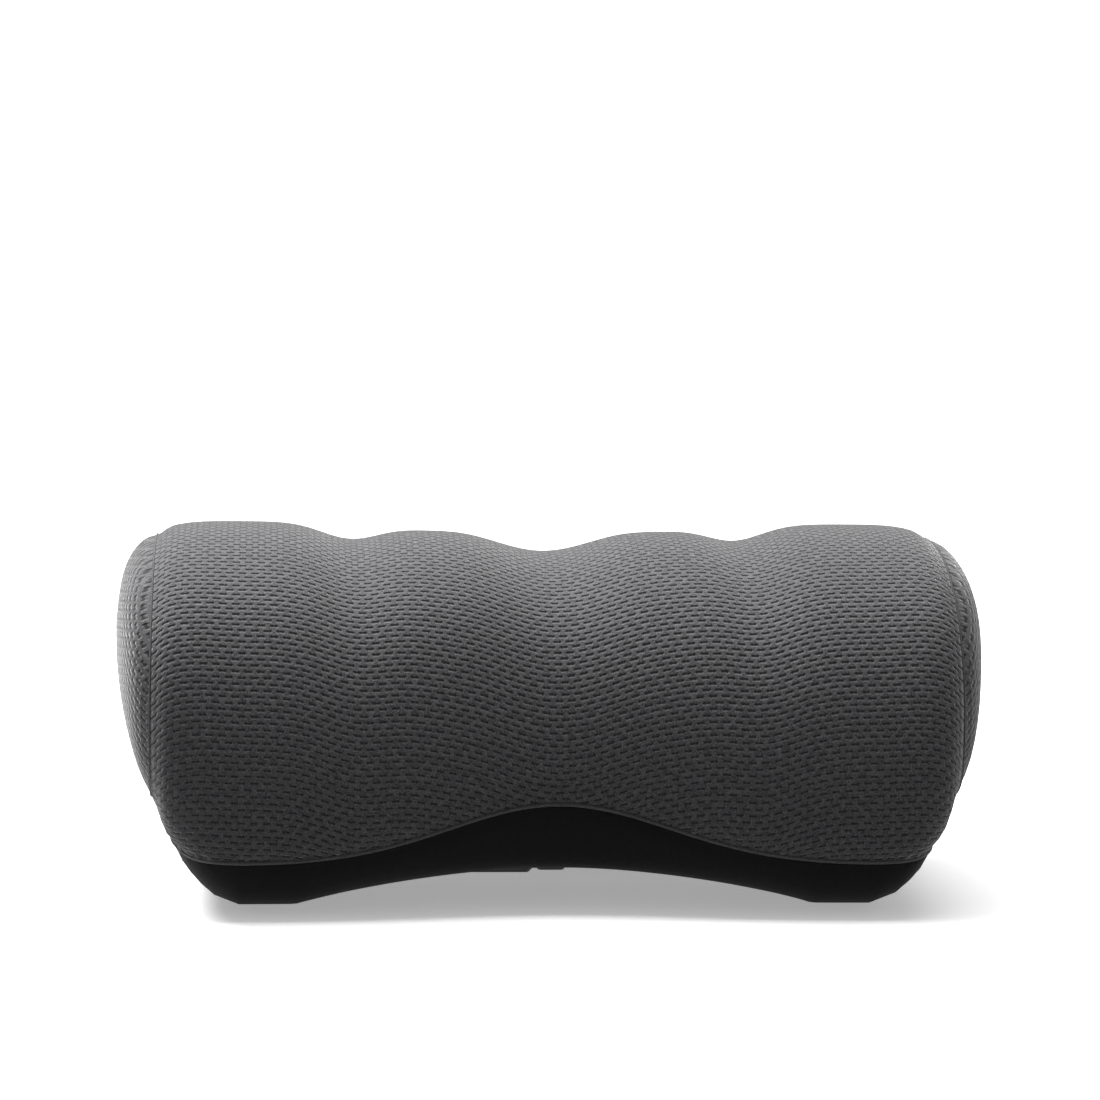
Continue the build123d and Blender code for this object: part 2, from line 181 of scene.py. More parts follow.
def skin_points():
    """Rings of points, shape (rings, AROUND, 3), starting under the middle and going up the
    rear, over the crest and down the front, by four Bezier quarters per ring."""
    x = ring_places()[:, None]
    t = np.linspace(0, 1, AROUND // 4, endpoint=False)[None, :]
    low, mid, high = bottom_of(x), belly_of(x), top_of(x)
    back = low + HOLLOW * arch_of(x)
    parts = []
    for side, lower, t_on in (
        (rear_of(x), True, 1 - t),
        (rear_of(x), False, t),
        (-front_of(x), False, 1 - t),
        (-front_of(x), True, t),
    ):
        if lower:
            across = side * bezier(t_on, 1, 1, 0.9, 0.45, 0)
            rise = bezier(t_on, mid, mid + 0.9 * (low - mid), low, back, back)
        else:
            across = side * bezier(t_on, 1, 1, 0.6, 0)
            rise = bezier(t_on, mid, mid + 0.6 * (high - mid), high, high)
        parts.append(np.stack([x + 0 * across, across, rise], -1))
    return np.concatenate(parts, 1)


def face_values(mesh, attribute, width=3):
    """One kind of number for every face of a mesh, as an array."""
    flat = np.empty(len(mesh.polygons) * width, np.float32)
    mesh.polygons.foreach_get(attribute, flat)
    return flat.reshape(-1, width).astype(float)


def enclosed_volume(mesh):
    """Volume inside a closed mesh: a third of the sum of centre dot normal times area, which
    is negative when the faces look inwards."""
    reach = np.sum(face_values(mesh, "center") * face_values(mesh, "normal"), axis=1, keepdims=True)
    return float(np.sum(reach * face_values(mesh, "area", 1)) / 3)


def grid_mesh(name, points, closed_round=True, caps=()):
    """Mesh of a grid of points, rows joined to the next row. The caps are one pole point for
    each end, joined to the end rows by triangles."""
    rows, cols = points.shape[:2]
    index = np.arange(rows * cols).reshape(rows, cols)
    after = np.roll(index, -1, 1)
    last = cols if closed_round else cols - 1
    quads = np.stack([index[:-1], index[1:], after[1:], after[:-1]], -1)[:, :last].reshape(-1, 4)
    vertices = np.concatenate([points.reshape(-1, 3), np.array(caps).reshape(-1, 3)])
    faces = quads.tolist()
    if len(caps):
        first, second = rows * cols, rows * cols + 1
        faces += [[first, a, b] for a, b in zip(index[0], after[0])]
        faces += [[second, b, a] for a, b in zip(index[-1], after[-1])]
    mesh = bpy.data.meshes.new(name)
    mesh.from_pydata(vertices.tolist(), [], faces)
    mesh.validate()
    if len(caps) and enclosed_volume(mesh) < 0:
        mesh.flip_normals()
    return mesh


def add_object(name, mesh):
    """Links a mesh into the scene as an object at the origin, shaded smooth."""
    piece = bpy.data.objects.new(name, mesh)
    bpy.context.scene.collection.objects.link(piece)
    mesh.shade_smooth()
    return piece


def coordinates(mesh):
    """All vertex places of a mesh as an array of shape (n, 3)."""
    flat = np.empty(len(mesh.vertices) * 3, np.float32)
    mesh.vertices.foreach_get("co", flat)
    return flat.reshape(-1, 3).astype(float)


def set_coordinates(mesh, points):
    """Moves all vertices of a mesh to the given places."""
    mesh.vertices.foreach_set("co", points.astype(np.float32).ravel())
    mesh.update()


def store(mesh, name, values):
    """Keeps three numbers per point on a mesh as an attribute."""
    layer = mesh.attributes.new(name, "FLOAT_VECTOR", "POINT")
    layer.data.foreach_set("vector", values.astype(np.float32).ravel())


rings = skin_points()
poles = [(-END, 0, END_HEIGHT), (END, 0, END_HEIGHT)]
skin = add_object("skin", grid_mesh("skin", rings, caps=poles))
step = np.linalg.norm(np.diff(rings, axis=1), axis=2)
around = np.concatenate([np.zeros((len(rings), 1)), np.cumsum(step, 1)], 1)
crest = AROUND // 2
from_crest = np.abs(around - around[:, crest : crest + 1])
flat_places = np.stack([rings[..., 0], from_crest, 0 * from_crest], -1).reshape(-1, 3)
store(skin.data, "cloth_place", np.concatenate([flat_places, np.zeros((2, 3))]))
print("skin", len(skin.data.vertices), "points")

# %% [markdown]
# ## Stuffing the cover
#
# Foam presses a sewn cover outwards everywhere except at its seams. Cloth simulation gives
# that for little work: the skin is pinned along the seams and on the feet, blown up with a
# little pressure, and no point may move further than a cap, so the outline stays.

# %% Blow up the skin
PUFF_CAP = 1.3 * MM


def seam_distance(points):
    """Distance to the nearest seam, taken as the smaller of the height above the seam surface
    and the gap along X to the end seams where they run above it."""
    x, y, z = points.T
    above = z - seam_of(x, y)
    ends = np.where(above > 0, np.abs(np.abs(x) - END_SEAM), 1.0)
    return np.minimum(np.abs(above), ends)


def puff(piece, pressure, cap):
    """Swells a closed piece with air while its seams and feet stay pinned, and stops every
    point within a cap of where it started. The two hollows beside the waist stay slack."""
    start = coordinates(piece.data)
    near = np.exp(-((seam_distance(start) / (5 * MM)) ** 2))
    feet = start[:, 2] < 2 * MM
    pins = piece.vertex_groups.new(name="pins")
    for weight in (0.25, 0.5, 0.75, 1.0):
        chosen = np.nonzero((near > weight - 0.2) | feet)[0]
        pins.add(chosen.tolist(), weight, "REPLACE")
    cloth = piece.modifiers.new("air", "CLOTH")
    cloth.settings.vertex_group_mass = "pins"
    cloth.settings.use_pressure = True
    cloth.settings.uniform_pressure_force = pressure
    cloth.settings.effector_weights.gravity = 0
    cloth.settings.quality = 4
    cloth.collision_settings.use_collision = False
    cloth.point_cache.frame_start, cloth.point_cache.frame_end = 1, 16
    for number in range(1, 17):
        bpy.context.scene.frame_set(number)
    moved = piece.evaluated_get(bpy.context.evaluated_depsgraph_get()).to_mesh()
    offset = coordinates(moved) - start
    piece.modifiers.remove(cloth)
    bpy.context.scene.frame_set(1)
    slack = 1 - bell(np.abs(start[:, 0]) - 44 * MM, 15 * MM) * bell(start[:, 2] - 86 * MM, 22 * MM)
    offset *= slack[:, None]
    size = np.linalg.norm(offset, axis=1, keepdims=True) + 1e-9
    set_coordinates(piece.data, start + offset / size * cap * np.tanh(size / cap))
    return float(size.max())


print("air moved the skin by up to", puff(skin, 1.2, PUFF_CAP))

# %% [markdown]
# ## Seams sink in
#
# A seam is a line where two panels turn inwards and meet, so the skin dips beside it and
# rises again within a few millimetres. The dip is a push against the normal that fades with
# the distance from the seam as a bell curve.

# %% Sink the seams
SEAM_DIP, SEAM_REACH = 1.3 * MM, 3.2 * MM


def normals_of(mesh):
    """Vertex normals of a mesh as an array of shape (n, 3)."""
    flat = np.empty(len(mesh.vertices) * 3, np.float32)
    mesh.vertex_normals.foreach_get("vector", flat)
    return flat.reshape(-1, 3).astype(float)


places, outward = coordinates(skin.data), normals_of(skin.data)
dip = SEAM_DIP * bell(seam_distance(places), SEAM_REACH)
dip *= np.where((np.abs(places[:, 0]) < ZIP_END + 6 * MM) & (places[:, 1] > BEHIND), 0, 1)
places -= dip[:, None] * outward
places[:, 2] = np.maximum(places[:, 2], 0)
set_coordinates(skin.data, places)
print("deepest dip", float(dip.max()))

# %% [markdown]
# ## Cutting the panels
#
# Panels are cut from the skin like pattern pieces. The end seams and the zip opening are flat
# cuts. The seam round the black panel is curved, so the skin is first bent to make that seam
# flat, then cut with a plane, and bent back: each point keeps its true height as an attribute.

# %% Cut the skin into panels
def cut(mesh, place, normal, behind=-1.0):
    """Adds edges where a plane crosses the mesh behind a Y, and takes nothing away."""
    work = bmesh.new()
    work.from_mesh(mesh)
    chosen = [face for face in work.faces if face.calc_center_median().y > behind]
    parts = {part for face in chosen for part in (face, *face.edges, *face.verts)}
    bmesh.ops.bisect_plane(work, geom=list(parts), dist=1e-7, plane_co=place, plane_no=normal)
    work.to_mesh(mesh)
    work.free()


def take_panel(name, keep):
    """A copy of the skin that holds only the faces marked in keep."""
    mesh = skin.data.copy()
    mesh.name = name
    work = bmesh.new()
    work.from_mesh(mesh)
    work.faces.ensure_lookup_table()
    bmesh.ops.delete(work, geom=[work.faces[i] for i in np.nonzero(~keep)[0]], context="FACES")
    work.to_mesh(mesh)
    work.free()
    return add_object(name, mesh)


for x in (-END_SEAM, END_SEAM):
    cut(skin.data, (x, 0, 0), (1, 0, 0))
for x in (-ZIP_END, ZIP_END):
    cut(skin.data, (x, 0, 0), (1, 0, 0), behind=BEHIND)
for z in (ZIP_LOW, ZIP_HIGH):
    cut(skin.data, (0, 0, z), (0, 0, 1), behind=BEHIND)
places = coordinates(skin.data)
store(skin.data, "true_height", places[:, [2, 2, 2]])
bent = places.copy()
bent[:, 2] -= seam_of(places[:, 0], places[:, 1])
set_coordinates(skin.data, bent)
cut(skin.data, (0, 0, 0), (0, 0, 1))
heights = np.empty(len(skin.data.vertices) * 3, np.float32)
skin.data.attributes["true_height"].data.foreach_get("vector", heights)
above_seam = face_values(skin.data, "center")[:, 2] > 0
places = coordinates(skin.data)
places[:, 2] = heights[::3]
set_coordinates(skin.data, places)
skin.data.attributes.remove(skin.data.attributes["true_height"])

centre = face_values(skin.data, "center")
opening = (np.abs(centre[:, 0]) < ZIP_END) & (centre[:, 1] > BEHIND)
opening &= (centre[:, 2] > ZIP_LOW) & (centre[:, 2] < ZIP_HIGH)
left, right = centre[:, 0] < -END_SEAM, centre[:, 0] > END_SEAM
main = take_panel("mesh_main", above_seam & ~left & ~right & ~opening)
end_left = take_panel("mesh_end_left", above_seam & left)
end_right = take_panel("mesh_end_right", above_seam & right)
base = take_panel("black_base", ~above_seam & ~opening)
bpy.data.objects.remove(skin)
panels = {main: "main_panel", end_left: "left_end_panel", end_right: "right_end_panel", base: "base_panel"}
for panel, node in panels.items():
    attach(panel, "pillow")
    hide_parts(node)
    print(panel.name, len(panel.data.polygons), "faces")

# %% [markdown]
# ## Thickness
#
# Spacer mesh is about 2 mm thick and has a visible cut edge at the zip. Solidify gives each
# panel that wall, growing inwards so that the outside stays where it is.

# %% Give the panels their thickness
for panel in panels:
    wall = panel.modifiers.new("wall", "SOLIDIFY")
    wall.thickness = 1.6 * MM
    wall.offset = -1

# %% [markdown]
# ## Seam welts
#
# Where the panels meet, a rolled edge of dark thread fills the dip. Each is a thin round cord
# carried along the seam: a circle swept on the path that the black panel's own edge gives.

# %% Follow an edge and sweep a circle along it
def edge_loop(mesh):
    """The longest open border of a mesh as an array of places, clockwise seen from above."""
    work = bmesh.new()
    work.from_mesh(mesh)
    border = {e.index: e for e in work.edges if e.is_boundary}
    loops = []
    while border:
        edge = border.pop(next(iter(border)))
        chain = [edge.verts[0], edge.verts[1]]
        while True:
            step_on = [e for e in chain[-1].link_edges if e.index in border]
            if not step_on:
                break
            border.pop(step_on[0].index)
            chain.append(step_on[0].other_vert(chain[-1]))
        loops.append(np.array([v.co[:] for v in chain]))
    work.free()
    loop = max(loops, key=len)
    x, y = loop[:, 0], loop[:, 1]
    clockwise = np.sum(x[:-1] * y[1:] - x[1:] * y[:-1]) < 0
    return loop if clockwise else loop[::-1]


def even_path(points, spacing):
    """The same path with points at an even spacing, lightly smoothed by a moving average."""
    length = np.concatenate([[0], np.cumsum(np.linalg.norm(np.diff(points, axis=0), axis=1))])
    at = np.linspace(0, length[-1], max(8, int(length[-1] / spacing)))
    path = np.stack([np.interp(at, length, points[:, k]) for k in range(3)], 1)
    soft = path.copy()
    soft[1:-1] = (path[:-2] + 2 * path[1:-1] + path[2:]) / 4
    return soft


def path_frames(path):
    """Unit tangent, side and up at each point: the side is the tangent crossed with a fixed
    direction that no part of the path follows."""
    tangent = np.gradient(path, axis=0)
    tangent /= np.linalg.norm(tangent, axis=1, keepdims=True)
    side = np.cross(tangent, np.array([0.15, 0.2, 1.0]))
    side /= np.linalg.norm(side, axis=1, keepdims=True)
    return tangent, side, np.cross(side, tangent)


def sweep(name, path, radius, sides=8):
    """Round cord: a circle of the radius set square to the path at each of its points."""
    _, side, up = path_frames(path)
    turn = np.linspace(0, 2 * np.pi, sides, endpoint=False)[None, :, None]
    rows = path[:, None] + radius * (np.cos(turn) * side[:, None] + np.sin(turn) * up[:, None])
    mesh = grid_mesh(name, rows, caps=[path[0], path[-1]])
    return add_object(name, mesh)


def off_zip(points):
    """Marks the points that don't lie along the zip on the rear wall."""
    return ~((np.abs(points[:, 0]) < ZIP_END + 1 * MM) & (points[:, 1] > BEHIND))


WELT, WELT_STEP, FAR_OFF = 0.7 * MM, 2 * MM, 9
base_edge = edge_loop(base.data)
from_zip_end = np.abs(base_edge[:, 1] - REAR) + np.abs(base_edge[:, 0] - ZIP_END)
start = int(np.argmin(np.where(off_zip(base_edge), from_zip_end, FAR_OFF)))
base_edge = np.roll(base_edge[:-1], -start, axis=0)
welt_base = sweep("welt_base", even_path(base_edge[off_zip(base_edge)], WELT_STEP), WELT)
end_welts = {}
for name, panel, sign in (("left", end_left, -1), ("right", end_right, 1)):
    edge = edge_loop(panel.data)
    ring = edge[np.abs(edge[:, 0] - sign * END_SEAM) < 0.3 * MM]
    angle = np.arctan2(ring[:, 2] - END_HEIGHT, ring[:, 1])
    ring = ring[np.argsort((angle + np.pi / 2) % (2 * np.pi))]
    end_welts[name] = sweep(f"welt_{name}", even_path(ring, WELT_STEP), 0.6 * WELT)
    print(name, "end seam", len(ring), "points")

welts = {"base_seam": welt_base, "left_end_seam": end_welts["left"], "right_end_seam": end_welts["right"]}
for node, welt in welts.items():
    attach(welt, "pillow")
    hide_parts(node)
print("welt path", len(base_edge), "points")

# %% [markdown]
# ## Zip coils
#
# A coil zip's teeth are one nylon thread wound in a helix along each tape. A helix is easy to
# write down: a circle in Y and Z that moves on along X, squashed to the coil's own box.

# %% Wind the zip's coils
COIL_PITCH = 1.5 * MM


def coil_piece(name, node):
    """Helix of nylon thread filling the box of the plain bar that stands for it."""
    low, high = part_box(node)
    thread = 0.28 * MM
    turns = (high.x - low.x) / COIL_PITCH
    turn = np.linspace(0, 2 * np.pi * turns, int(turns * 10))
    y = (low.y + high.y) / 2 + ((high.y - low.y) / 2 - thread) * np.cos(turn)
    z = (low.z + high.z) / 2 + ((high.z - low.z) / 2 - thread) * np.sin(turn)
    x = np.linspace(low.x, high.x, len(turn))
    piece = sweep(name, np.stack([x, y, z], 1), thread, sides=5)
    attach(piece, "pillow")
    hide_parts(node)
    return piece


coils = [coil_piece("coil_upper", "zip_coil_upper"), coil_piece("coil_lower", "zip_coil_lower")]
print("coil faces", len(coils[0].data.polygons))

# %% [markdown]
# ## The elastic strap
#
# Each half of the strap leaves its sewn end, drops to the buckle's bar, goes through the slot,
# and lies back along itself. It is a flat ribbon with round edges, carried along a path whose
# corners are rounded by a Bezier curve between straight runs.

# %% Lay the strap ribbons
STRAP_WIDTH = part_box("strap_left")[1].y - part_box("strap_left")[0].y
STRAP_THICKNESS, STRAP_PLAY = 1.4 * MM, 0.1 * MM
PITCH_OF_LAYERS = STRAP_THICKNESS + STRAP_PLAY
BAR = 2.6 * MM


def rounded_path(corners, bends, steps=8):
    """Straight runs joined by quadratic Bezier bends that start a bend's length off a corner."""
    points = [corners[0]]
    for before, corner, after, bend in zip(corners, corners[1:], corners[2:], bends):
        back = (before - corner) / np.linalg.norm(before - corner)
        on = (after - corner) / np.linalg.norm(after - corner)
        t = np.linspace(0, 1, steps)[:, None]
        a, b = corner + back * bend, corner + on * bend
        points.extend((1 - t) ** 2 * a + 2 * t * (1 - t) * corner + t**2 * b)
    points.append(corners[-1])
    return np.array(points)


def ribbon(name, path, width, thickness):
    """Flat band square to Y: a superellipse section with round edges, on an even path in XZ.
    The distance along the band and across it is kept for the weave."""
    path = even_path(path, 0.8 * MM)
    tangent = np.gradient(path, axis=0)
    tangent /= np.linalg.norm(tangent, axis=1, keepdims=True)
    up = np.cross(tangent, np.array([0.0, 1.0, 0.0]))
    turn = np.linspace(0, 2 * np.pi, 28, endpoint=False)
    across = np.sign(np.cos(turn)) * np.abs(np.cos(turn)) ** 0.35 * width / 2
    rise = np.sign(np.sin(turn)) * np.abs(np.sin(turn)) ** 0.7 * thickness / 2
    rows = path[:, None] + rise[None, :, None] * up[:, None]
    rows[..., 1] += across[None, :]
    mesh = grid_mesh(name, rows, caps=[path[0], path[-1]])
    along = np.linspace(0, len(path) * 0.8 * MM, len(path))[:, None] + 0 * across[None, :]
    flat = np.stack([along, across[None, :] + 0 * along, 0 * along], -1).reshape(-1, 3)
    store(mesh, "cloth_place", np.concatenate([flat, np.zeros((2, 3))]))
    return add_object(name, mesh)


def strap(name, node, sign, bar_face):
    """One strap half, from its sewn end (read from its patch) round the bar and back."""
    low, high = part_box(f"anchor_patch_{'left' if sign < 0 else 'right'}")
    strap_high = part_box(node)[1]
    half = STRAP_THICKNESS / 2
    outer, inner = max(abs(low.x), abs(high.x)), min(abs(low.x), abs(high.x)) + 0.2 * MM
    keeper_low, keeper_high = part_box("strap_keeper")
    level = (keeper_low.z + keeper_high.z) / 2
    run, tail, over = level - PITCH_OF_LAYERS / 2, level + PITCH_OF_LAYERS / 2, strap_high.z - half
    corners = np.array(
        [
            (outer, 0, low.z - 0.75 * MM),
            (inner, 0, high.z - 1.6 * MM),
            (inner - 6 * MM, 0, run),
            (bar_face - half - STRAP_PLAY, 0, run),
            (bar_face - half - STRAP_PLAY, 0, over),
            (bar_face + BAR + 2 * STRAP_THICKNESS, 0, over),
            (bar_face + BAR + 6 * STRAP_THICKNESS, 0, tail),
            (inner - 8 * MM, 0, tail),
        ]
    )
    corners[:, 0] *= sign
    path = rounded_path(corners, np.array([1.2, 2.0, 0.8, 0.8, 1.2, 1.2]) * MM)
    piece = ribbon(name, path, STRAP_WIDTH, STRAP_THICKNESS)
    if sign < 0:
        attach(piece, "pillow")
    else:
        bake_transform(piece)
    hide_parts(node)
    return piece


socket_bar = -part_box("buckle_socket")[0].x - BAR
plug_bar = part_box("buckle_plug")[1].x - BAR
strap_left = strap("elastic_left", "strap_left", -1, socket_bar)
strap_right = strap("elastic_right", "strap_right", 1, plug_bar)
print("strap width", STRAP_WIDTH, "bars at", socket_bar, plug_bar)

# %% [markdown]
# ## The care label
#
# A loop of white satin hangs from the zip's lower edge. It is a small sheet that leaves the
# wall in a shallow curve, so it is written as a grid bent along a quarter of a sine wave.

# %% Hang the care label
low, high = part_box("care_label")
u = np.linspace(0, 1, 25)[:, None]
v = np.linspace(0, 1, 15)[None, :]
curl = 0.5 * MM * np.sin(np.pi * v) + 0.25 * MM * np.sin(2 * np.pi * u) * v
across = low.x + (high.x - low.x) * u + 0 * v
down = high.z - (high.z - low.z) * v + 0 * u
points = np.stack([across, low.y + curl + 0 * u, down], -1)
label = add_object("label", grid_mesh("label", points, closed_round=False))
wall = label.modifiers.new("wall", "SOLIDIFY")
wall.thickness, wall.offset = 0.3 * MM, 0
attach(label, "pillow")
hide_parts("care_label")
print("label", high.x - low.x, "by", high.z - low.z)

# %% [markdown]
# ## Materials
#
# Every finish is made from nodes. Two helpers keep the recipes readable: one turns a colour
# written the usual way into linear light, and one adds a node with its settings and links.

# %% Helpers for materials
def colour(code, alpha=1.0):
    """Linear colour of an sRGB hex code, by the sRGB curve."""
    parts = np.array([int(code[i : i + 2], 16) for i in (0, 2, 4)]) / 255
    linear = np.where(parts <= 0.04045, parts / 12.92, ((parts + 0.055) / 1.055) ** 2.4)
    return (*linear.tolist(), alpha)


def add_node(tree, kind, settings=None, **inputs):
    """Adds a node, sets its own settings, and gives each input a value or a link."""
    node = tree.nodes.new(kind)
    for key, value in (settings or {}).items():
        setattr(node, key, value)
    for key, value in inputs.items():
        numbered = key[0] == "i" and key[1:].isdigit()
        socket = node.inputs[int(key[1:]) if numbered else key.replace("_", " ")]
        if isinstance(value, bpy.types.NodeSocket):
            tree.links.new(value, socket)
        else:
            socket.default_value = value
    return node


def new_material(name):
    """An empty material, its node tree and its shader."""
    material = bpy.data.materials.new(name)
    material.use_nodes = True
    tree = material.node_tree
    return material, tree, tree.nodes["Principled BSDF"]


def maths(tree, operation, first, second=0.0, third=0.0):
    """One step of arithmetic on values or sockets."""
    node = add_node(tree, "ShaderNodeMath", {"operation": operation}, i0=first, i1=second)
    if isinstance(third, bpy.types.NodeSocket):
        tree.links.new(third, node.inputs[2])
    else:
        node.inputs[2].default_value = third
    return node.outputs[0]


def band(tree, value, low, high, start=0.0, end=1.0):
    """Smooth step of a value from start at low to end at high."""
    smooth = {"interpolation_type": "SMOOTHSTEP"}
    node = add_node(tree, "ShaderNodeMapRange", smooth, i0=value, i1=low, i2=high, i3=start, i4=end)
    return node.outputs[0]


def blend_colours(tree, share, first, second):
    """Mixes two colours by a share."""
    node = add_node(tree, "ShaderNodeMix", {"data_type": "RGBA"}, i0=share)
    for index, value in ((6, first), (7, second)):
        if isinstance(value, bpy.types.NodeSocket):
            tree.links.new(value, node.inputs[index])
        else:
            node.inputs[index].default_value = value
    return node.outputs[2]


print("grey in linear light", colour("808080"))

# %% [markdown]
# ### Spacer mesh
#
# Polyester spacer mesh is warp-knitted in two faces held apart by fine threads. Its outer face
# shows short slots in brick order, each pinched in the middle like a bone, in a heathered grey
# made of dark and light threads. The slots are worked out from the place on the flat cloth, and
# the cloth between them is rounded by a bump that falls into each slot. The slots are painted
# near black: painted shade for the hole behind each slot, which is not cut in the mesh.

# %% Knit the spacer mesh
SLOT_PITCH, SLOT_ROW = 4.25 * MM, 2.2 * MM
SLOT_LENGTH, SLOT_RADIUS = 1.7 * MM, 0.24 * MM


def spacer_mesh(name, on_cloth):
    """Knitted slots in brick order. The pattern follows the cloth_place attribute, or on the
    ends the room's Y and Z turned by 45 degrees, as that panel is cut on the bias."""
    material, tree, shader = new_material(name)
    if on_cloth:
        place = add_node(tree, "ShaderNodeAttribute", {"attribute_name": "cloth_place"}).outputs["Vector"]
        parts = add_node(tree, "ShaderNodeSeparateXYZ", i0=place)
        along, down = parts.outputs[0], parts.outputs[1]
    else:
        room = add_node(tree, "ShaderNodeTexCoord").outputs["Object"]
        turned = add_node(tree, "ShaderNodeMapping", None, Vector=room, Rotation=(np.radians(-42), 0, 0))
        place = turned.outputs[0]
        parts = add_node(tree, "ShaderNodeSeparateXYZ", i0=place)
        along, down = parts.outputs[1], parts.outputs[2]
    wander = add_node(tree, "ShaderNodeTexNoise", None, Vector=place, Scale=140.0, Detail=1.0)
    shift = maths(tree, "MULTIPLY", maths(tree, "SUBTRACT", wander.outputs[0], 0.5), 0.55 * MM)
    row = maths(tree, "DIVIDE", maths(tree, "ADD", down, shift), SLOT_ROW)
    odd = maths(tree, "MULTIPLY", maths(tree, "FLOORED_MODULO", maths(tree, "FLOOR", row), 2.0), 0.5)
    column = maths(tree, "ADD", maths(tree, "DIVIDE", along, SLOT_PITCH), odd)
    across = maths(tree, "MULTIPLY", maths(tree, "SUBTRACT", maths(tree, "FRACT", column), 0.5), SLOT_PITCH)
    rise = maths(tree, "MULTIPLY", maths(tree, "SUBTRACT", maths(tree, "FRACT", row), 0.5), SLOT_ROW)
    reach = maths(tree, "ABSOLUTE", across)
    beyond = maths(tree, "MAXIMUM", maths(tree, "SUBTRACT", reach, SLOT_LENGTH / 2), 0.0)
    squares = maths(tree, "ADD", maths(tree, "POWER", beyond, 2.0), maths(tree, "POWER", rise, 2.0))
    gap = maths(tree, "SQRT", squares)
    bone = band(tree, reach, 0.2 * MM, SLOT_LENGTH / 2, 0.75 * SLOT_RADIUS, 1.25 * SLOT_RADIUS)
    from_slot = maths(tree, "SUBTRACT", gap, bone)
    thread_noise = {"Scale": 1900.0, "Detail": 3.0, "Roughness": 0.7}
    threads = add_node(tree, "ShaderNodeTexNoise", None, Vector=place, **thread_noise)
    patches = add_node(tree, "ShaderNodeTexNoise", None, Vector=place, Scale=420.0, Detail=2.0)
    fine = maths(tree, "MULTIPLY", threads.outputs[0], 0.75)
    coarse = maths(tree, "MULTIPLY", patches.outputs[0], 0.25)
    tone = maths(tree, "ADD", fine, coarse)
    heather = blend_colours(tree, band(tree, tone, 0.36, 0.66), colour("29292b"), colour("666668"))
    # Near black inside each slot: painted shade for the hole, which the mesh does not cut.
    open_share = band(tree, from_slot, -0.1 * MM, 0.28 * MM)
    cloth = blend_colours(tree, open_share, colour("060607"), heather)
    tree.links.new(cloth, shader.inputs["Base Color"])
    dome = band(tree, from_slot, -0.15 * MM, 0.6 * MM)
    relief = maths(tree, "ADD", dome, maths(tree, "MULTIPLY", threads.outputs[0], 0.22))
    bump = add_node(tree, "ShaderNodeBump", None, Strength=0.9, Distance=0.45 * MM, Height=relief)
    tree.links.new(bump.outputs[0], shader.inputs["Normal"])
    shader.inputs["Roughness"].default_value = 0.85
    shader.inputs["Sheen Weight"].default_value = 0.5
    shader.inputs["Sheen Roughness"].default_value = 0.35
    shader.inputs["Specular IOR Level"].default_value = 0.25
    return material


main.data.materials.append(spacer_mesh("polyester_spacer_mesh", True))
for panel in (end_left, end_right):
    panel.data.materials.append(spacer_mesh("polyester_spacer_mesh_bias", False))
print("slots", round(2 * END_SEAM / SLOT_PITCH), "along the roll")

# %% [markdown]
# ### Black stretch knit
#
# The black panel is a fine jersey of polyester and elastane. Its ribs are far under a
# millimetre, so they are drawn a little coarser to be seen. It has a soft velvety edge light.

# %% Knit the black panel
def stretch_knit():
    """Fine ribs along X with tiny cross threads, on a nearly black base."""
    material, tree, shader = new_material("black_stretch_jersey")
    room = add_node(tree, "ShaderNodeTexCoord").outputs["Object"]
    rib_space = add_node(tree, "ShaderNodeMapping", None, Vector=room, Scale=(1.0, 0.25, 0.25))
    ribs = add_node(tree, "ShaderNodeTexNoise", None, Vector=rib_space.outputs[0], Scale=1100.0, Detail=2.0)
    fuzz = add_node(tree, "ShaderNodeTexNoise", None, Vector=room, Scale=2600.0, Detail=2.0)
    soft = add_node(tree, "ShaderNodeTexNoise", None, Vector=rib_space.outputs[0], Scale=90.0, Detail=1.0)
    ribbed = maths(tree, "MULTIPLY", ribs.outputs[0], 0.6)
    tone = maths(tree, "ADD", ribbed, maths(tree, "MULTIPLY", fuzz.outputs[0], 0.4))
    shade = blend_colours(tree, band(tree, tone, 0.35, 0.7), colour("030303"), colour("09090a"))
    tree.links.new(shade, shader.inputs["Base Color"])
    relief = maths(tree, "ADD", maths(tree, "MULTIPLY", tone, 0.15), soft.outputs[0])
    bump = add_node(tree, "ShaderNodeBump", None, Strength=0.5, Distance=0.8 * MM, Height=relief)
    tree.links.new(bump.outputs[0], shader.inputs["Normal"])
    shader.inputs["Roughness"].default_value = 0.9
    shader.inputs["Sheen Weight"].default_value = 0.04
    shader.inputs["Sheen Roughness"].default_value = 0.4
    shader.inputs["Specular IOR Level"].default_value = 0.15
    return material


base.data.materials.append(stretch_knit())

# %% [markdown]
# ### Thread, tape, webbing and satin
#
# The small cloths are all woven or twisted, so one recipe serves them: crossed waves at the
# thread's own spacing, coloured between two tones, with a bump that follows.

